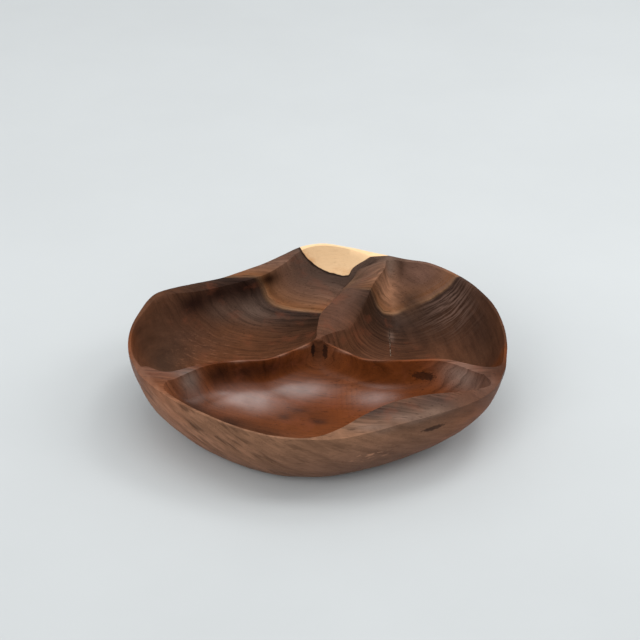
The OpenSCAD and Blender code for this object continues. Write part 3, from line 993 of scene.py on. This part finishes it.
class BowlFinish(bpy.types.PropertyGroup):
    """Colours and sheen of the wood."""
    sapwood_colour: colour_property(
        "Sapwood", "Pale wood at the back of the rim", (0.95, 0.67, 0.40))
    sapwood_deep: colour_property(
        "Sapwood streaks", "Deeper streaks in the pale wood", (0.82, 0.53, 0.28))
    knot_colour: colour_property("Knots", "Dark wood of the knots", (0.014, 0.006, 0.004))
    filler_colour: colour_property("Filler", "Filler in the crack", (0.30, 0.22, 0.16))
    brightness: number_property(
        "Brightness", "Brightness of the dark wood's colours", 1.22, min=0)
    ring_spacing: number_property(
        "Ring spacing", "Millimetres from one growth ring to the next", 5.5, min=1)
    roughness: share_property("Roughness", "Roughness of the oiled wood", 0.4)
    gloss: share_property("Gloss", "Strength of the wood's own shine", 0.025)
    coat: share_property("Oil", "Weight of the oil's own gloss", 1.0)
    coat_roughness: share_property("Oil roughness", "Roughness of the oil's gloss", 0.3)


class BowlStage(bpy.types.PropertyGroup):
    """Camera, lamps and backing sheet."""
    camera_height: number_property(
        "Camera height", "How far the camera looks down", math.radians(32), subtype="ANGLE")
    camera_distance: length_property(
        "Camera distance", "From the camera to the point it looks at", 1.254)
    lens: number_property("Lens", "Focal length of the camera in millimetres", 85)
    lamp_power: number_property(
        "Lamp power", "Power of the large soft lamp above the bowl, in watts", 10.5)
    window_power: number_property(
        "Window power", "Power of the soft lamp at the right, in watts", 8)
    side_power: number_property(
        "Side power", "Power of the soft lamp at the back right, in watts", 5)
    fill_power: number_property(
        "Fill power", "Power of the wide soft lamp at the front left, in watts", 16)
    sky_strength: number_property("Room light", "Strength of the even light of the room", 0.74)
    sheet_colour: colour_property("Sheet", "Colour of the backing sheet", (0.60, 0.625, 0.63))


class BOWL_OT_blank(bpy.types.Operator):
    """Lay out the carved surface of the whole bowl"""
    bl_idname = "bowl.blank"
    bl_label = "Carved blank"

    def execute(self, context):
        carved_blank(context.scene.bowl_shape)
        return {"FINISHED"}


class BOWL_OT_heartwood(bpy.types.Operator):
    """Part the dark heartwood from the blank"""
    bl_idname = "bowl.heartwood"
    bl_label = "Heartwood"

    def execute(self, context):
        shape, finish = context.scene.bowl_shape, context.scene.bowl_finish
        cutters = [make(shape) for make in ZONES.values()]
        piece = parted(bpy.data.objects[BLANK], "heartwood_body_carved", cutters, "DIFFERENCE")
        for cutter in cutters:
            bpy.data.objects.remove(cutter)
        finish_piece(piece, "heartwood_body", wood_material("oiled_heartwood", finish))
        return {"FINISHED"}


class BOWL_OT_sapwood(bpy.types.Operator):
    """Part the pale sapwood at the back of the rim from the blank"""
    bl_idname = "bowl.sapwood"
    bl_label = "Sapwood"

    def execute(self, context):
        piece = zone_piece(context, "sapwood_edge")
        finish_piece(piece, "sapwood_edge",
                     wood_material("oiled_sapwood", context.scene.bowl_finish))
        return {"FINISHED"}


class BOWL_OT_knots(bpy.types.Operator):
    """Part the four dark knots from the blank"""
    bl_idname = "bowl.knots"
    bl_label = "Knots"

    def execute(self, context):
        material = wood_material("dark_knot", context.scene.bowl_finish)
        for name in ("hub_knot_left", "hub_knot_right", "front_knot", "outer_knot"):
            finish_piece(zone_piece(context, name), name, material)
        return {"FINISHED"}


class BOWL_OT_crack(bpy.types.Operator):
    """Part the filled crack from the blank"""
    bl_idname = "bowl.crack"
    bl_label = "Filled crack"

    def execute(self, context):
        finish_piece(zone_piece(context, "crack_fill"), "crack_fill",
                     filler_material("crack_filler", context.scene.bowl_finish))
        return {"FINISHED"}


LAMPS = [
    # name, place, width and height, property that holds its power
    ("top_lamp", (0.2, 0.015, 2.1), (0.6, 1.7), "lamp_power"),
    ("window_lamp", (1.6, 0.0, 1.4), (0.6, 1.0), "window_power"),
    ("side_lamp", (0.84, 0.66, 1.8), (0.6, 0.5), "side_power"),
    ("fill_lamp", (-1.1, -1.6, 1.5), (1.4, 1.4), "fill_power"),
]
LAMP_AIM = (0, 0, 0.03)
CAMERA_AIM = (0.0015, 0.117, 0)
SENSOR_WIDTH = 36
ROOM_COLOUR = (0.97, 0.985, 1, 1)
SHEET_SIZE = 12


def turned_to(direction):
    """Rotation of a lamp or camera that looks in a direction."""
    return direction.to_track_quat("-Z", "Y").to_euler()


def area_lamp(name, place, size, power):
    """Soft lamp that looks at the bowl, with its width and its height."""
    bpy.ops.object.light_add(type="AREA", location=place)
    lamp = bpy.context.object
    lamp.name = name
    lamp.data.shape = "RECTANGLE"
    lamp.data.size, lamp.data.size_y = size
    lamp.data.energy = power
    lamp.rotation_euler = turned_to(Vector(LAMP_AIM) - Vector(place))


class BOWL_OT_stage(bpy.types.Operator):
    """Set up the backing sheet, the light and the camera"""
    bl_idname = "bowl.stage"
    bl_label = "Stage"

    def execute(self, context):
        scene, stage = context.scene, context.scene.bowl_stage
        bpy.ops.mesh.primitive_plane_add(size=SHEET_SIZE)
        sheet = context.object
        sheet.name = "backing_sheet"
        sheet.data.materials.append(sheet_material("pale_sheet", stage))
        scene.world = bpy.data.worlds.new("room")
        scene.world.use_nodes = True
        room = scene.world.node_tree.nodes["Background"]
        room.inputs["Color"].default_value = ROOM_COLOUR
        room.inputs["Strength"].default_value = stage.sky_strength
        for name, place, size, power in LAMPS:
            area_lamp(name, place, size, getattr(stage, power))
        back = Vector((0, -math.cos(stage.camera_height), math.sin(stage.camera_height)))
        bpy.ops.object.camera_add(location=Vector(CAMERA_AIM) + back * stage.camera_distance)
        camera = context.object
        camera.rotation_euler = turned_to(-back)
        camera.data.lens = stage.lens
        camera.data.sensor_width = SENSOR_WIDTH
        scene.camera = camera
        scene.view_settings.view_transform = "Standard"
        return {"FINISHED"}


class BOWL_PT_panel(bpy.types.Panel):
    """Sizes, colours and steps of the bowl"""
    bl_idname = "BOWL_PT_panel"
    bl_label = "Divided serving bowl"
    bl_space_type = "VIEW_3D"
    bl_region_type = "UI"
    bl_category = "Bowl"

    def draw(self, context):
        for group in (context.scene.bowl_shape, context.scene.bowl_finish,
                      context.scene.bowl_stage):
            box = self.layout.box()
            for name in group.__annotations__:
                box.prop(group, name)
        for operator in OPERATORS:
            self.layout.operator(operator.bl_idname)


OPERATORS = (BOWL_OT_stage, BOWL_OT_blank, BOWL_OT_heartwood, BOWL_OT_sapwood, BOWL_OT_knots,
             BOWL_OT_crack)
CLASSES = (BowlShape, BowlFinish, BowlStage, *OPERATORS, BOWL_PT_panel)


def register():
    """Register the classes and the groups of sizes and colours."""
    for cls in CLASSES:
        bpy.utils.register_class(cls)
    bpy.types.Scene.bowl_shape = bpy.props.PointerProperty(type=BowlShape)
    bpy.types.Scene.bowl_finish = bpy.props.PointerProperty(type=BowlFinish)
    bpy.types.Scene.bowl_stage = bpy.props.PointerProperty(type=BowlStage)


def unregister():
    """Take the groups and the classes away again."""
    del bpy.types.Scene.bowl_stage
    del bpy.types.Scene.bowl_finish
    del bpy.types.Scene.bowl_shape
    for cls in reversed(CLASSES):
        bpy.utils.unregister_class(cls)


def main():
    """Make the bowl and its stage."""
    register()
    bpy.ops.object.select_all(action="DESELECT")
    bpy.ops.bowl.stage()
    bpy.ops.bowl.blank()
    bpy.ops.bowl.heartwood()
    bpy.ops.bowl.sapwood()
    bpy.ops.bowl.knots()
    bpy.ops.bowl.crack()
    bpy.data.objects.remove(bpy.data.objects[BLANK])


if __name__ == "__main__":
    main()
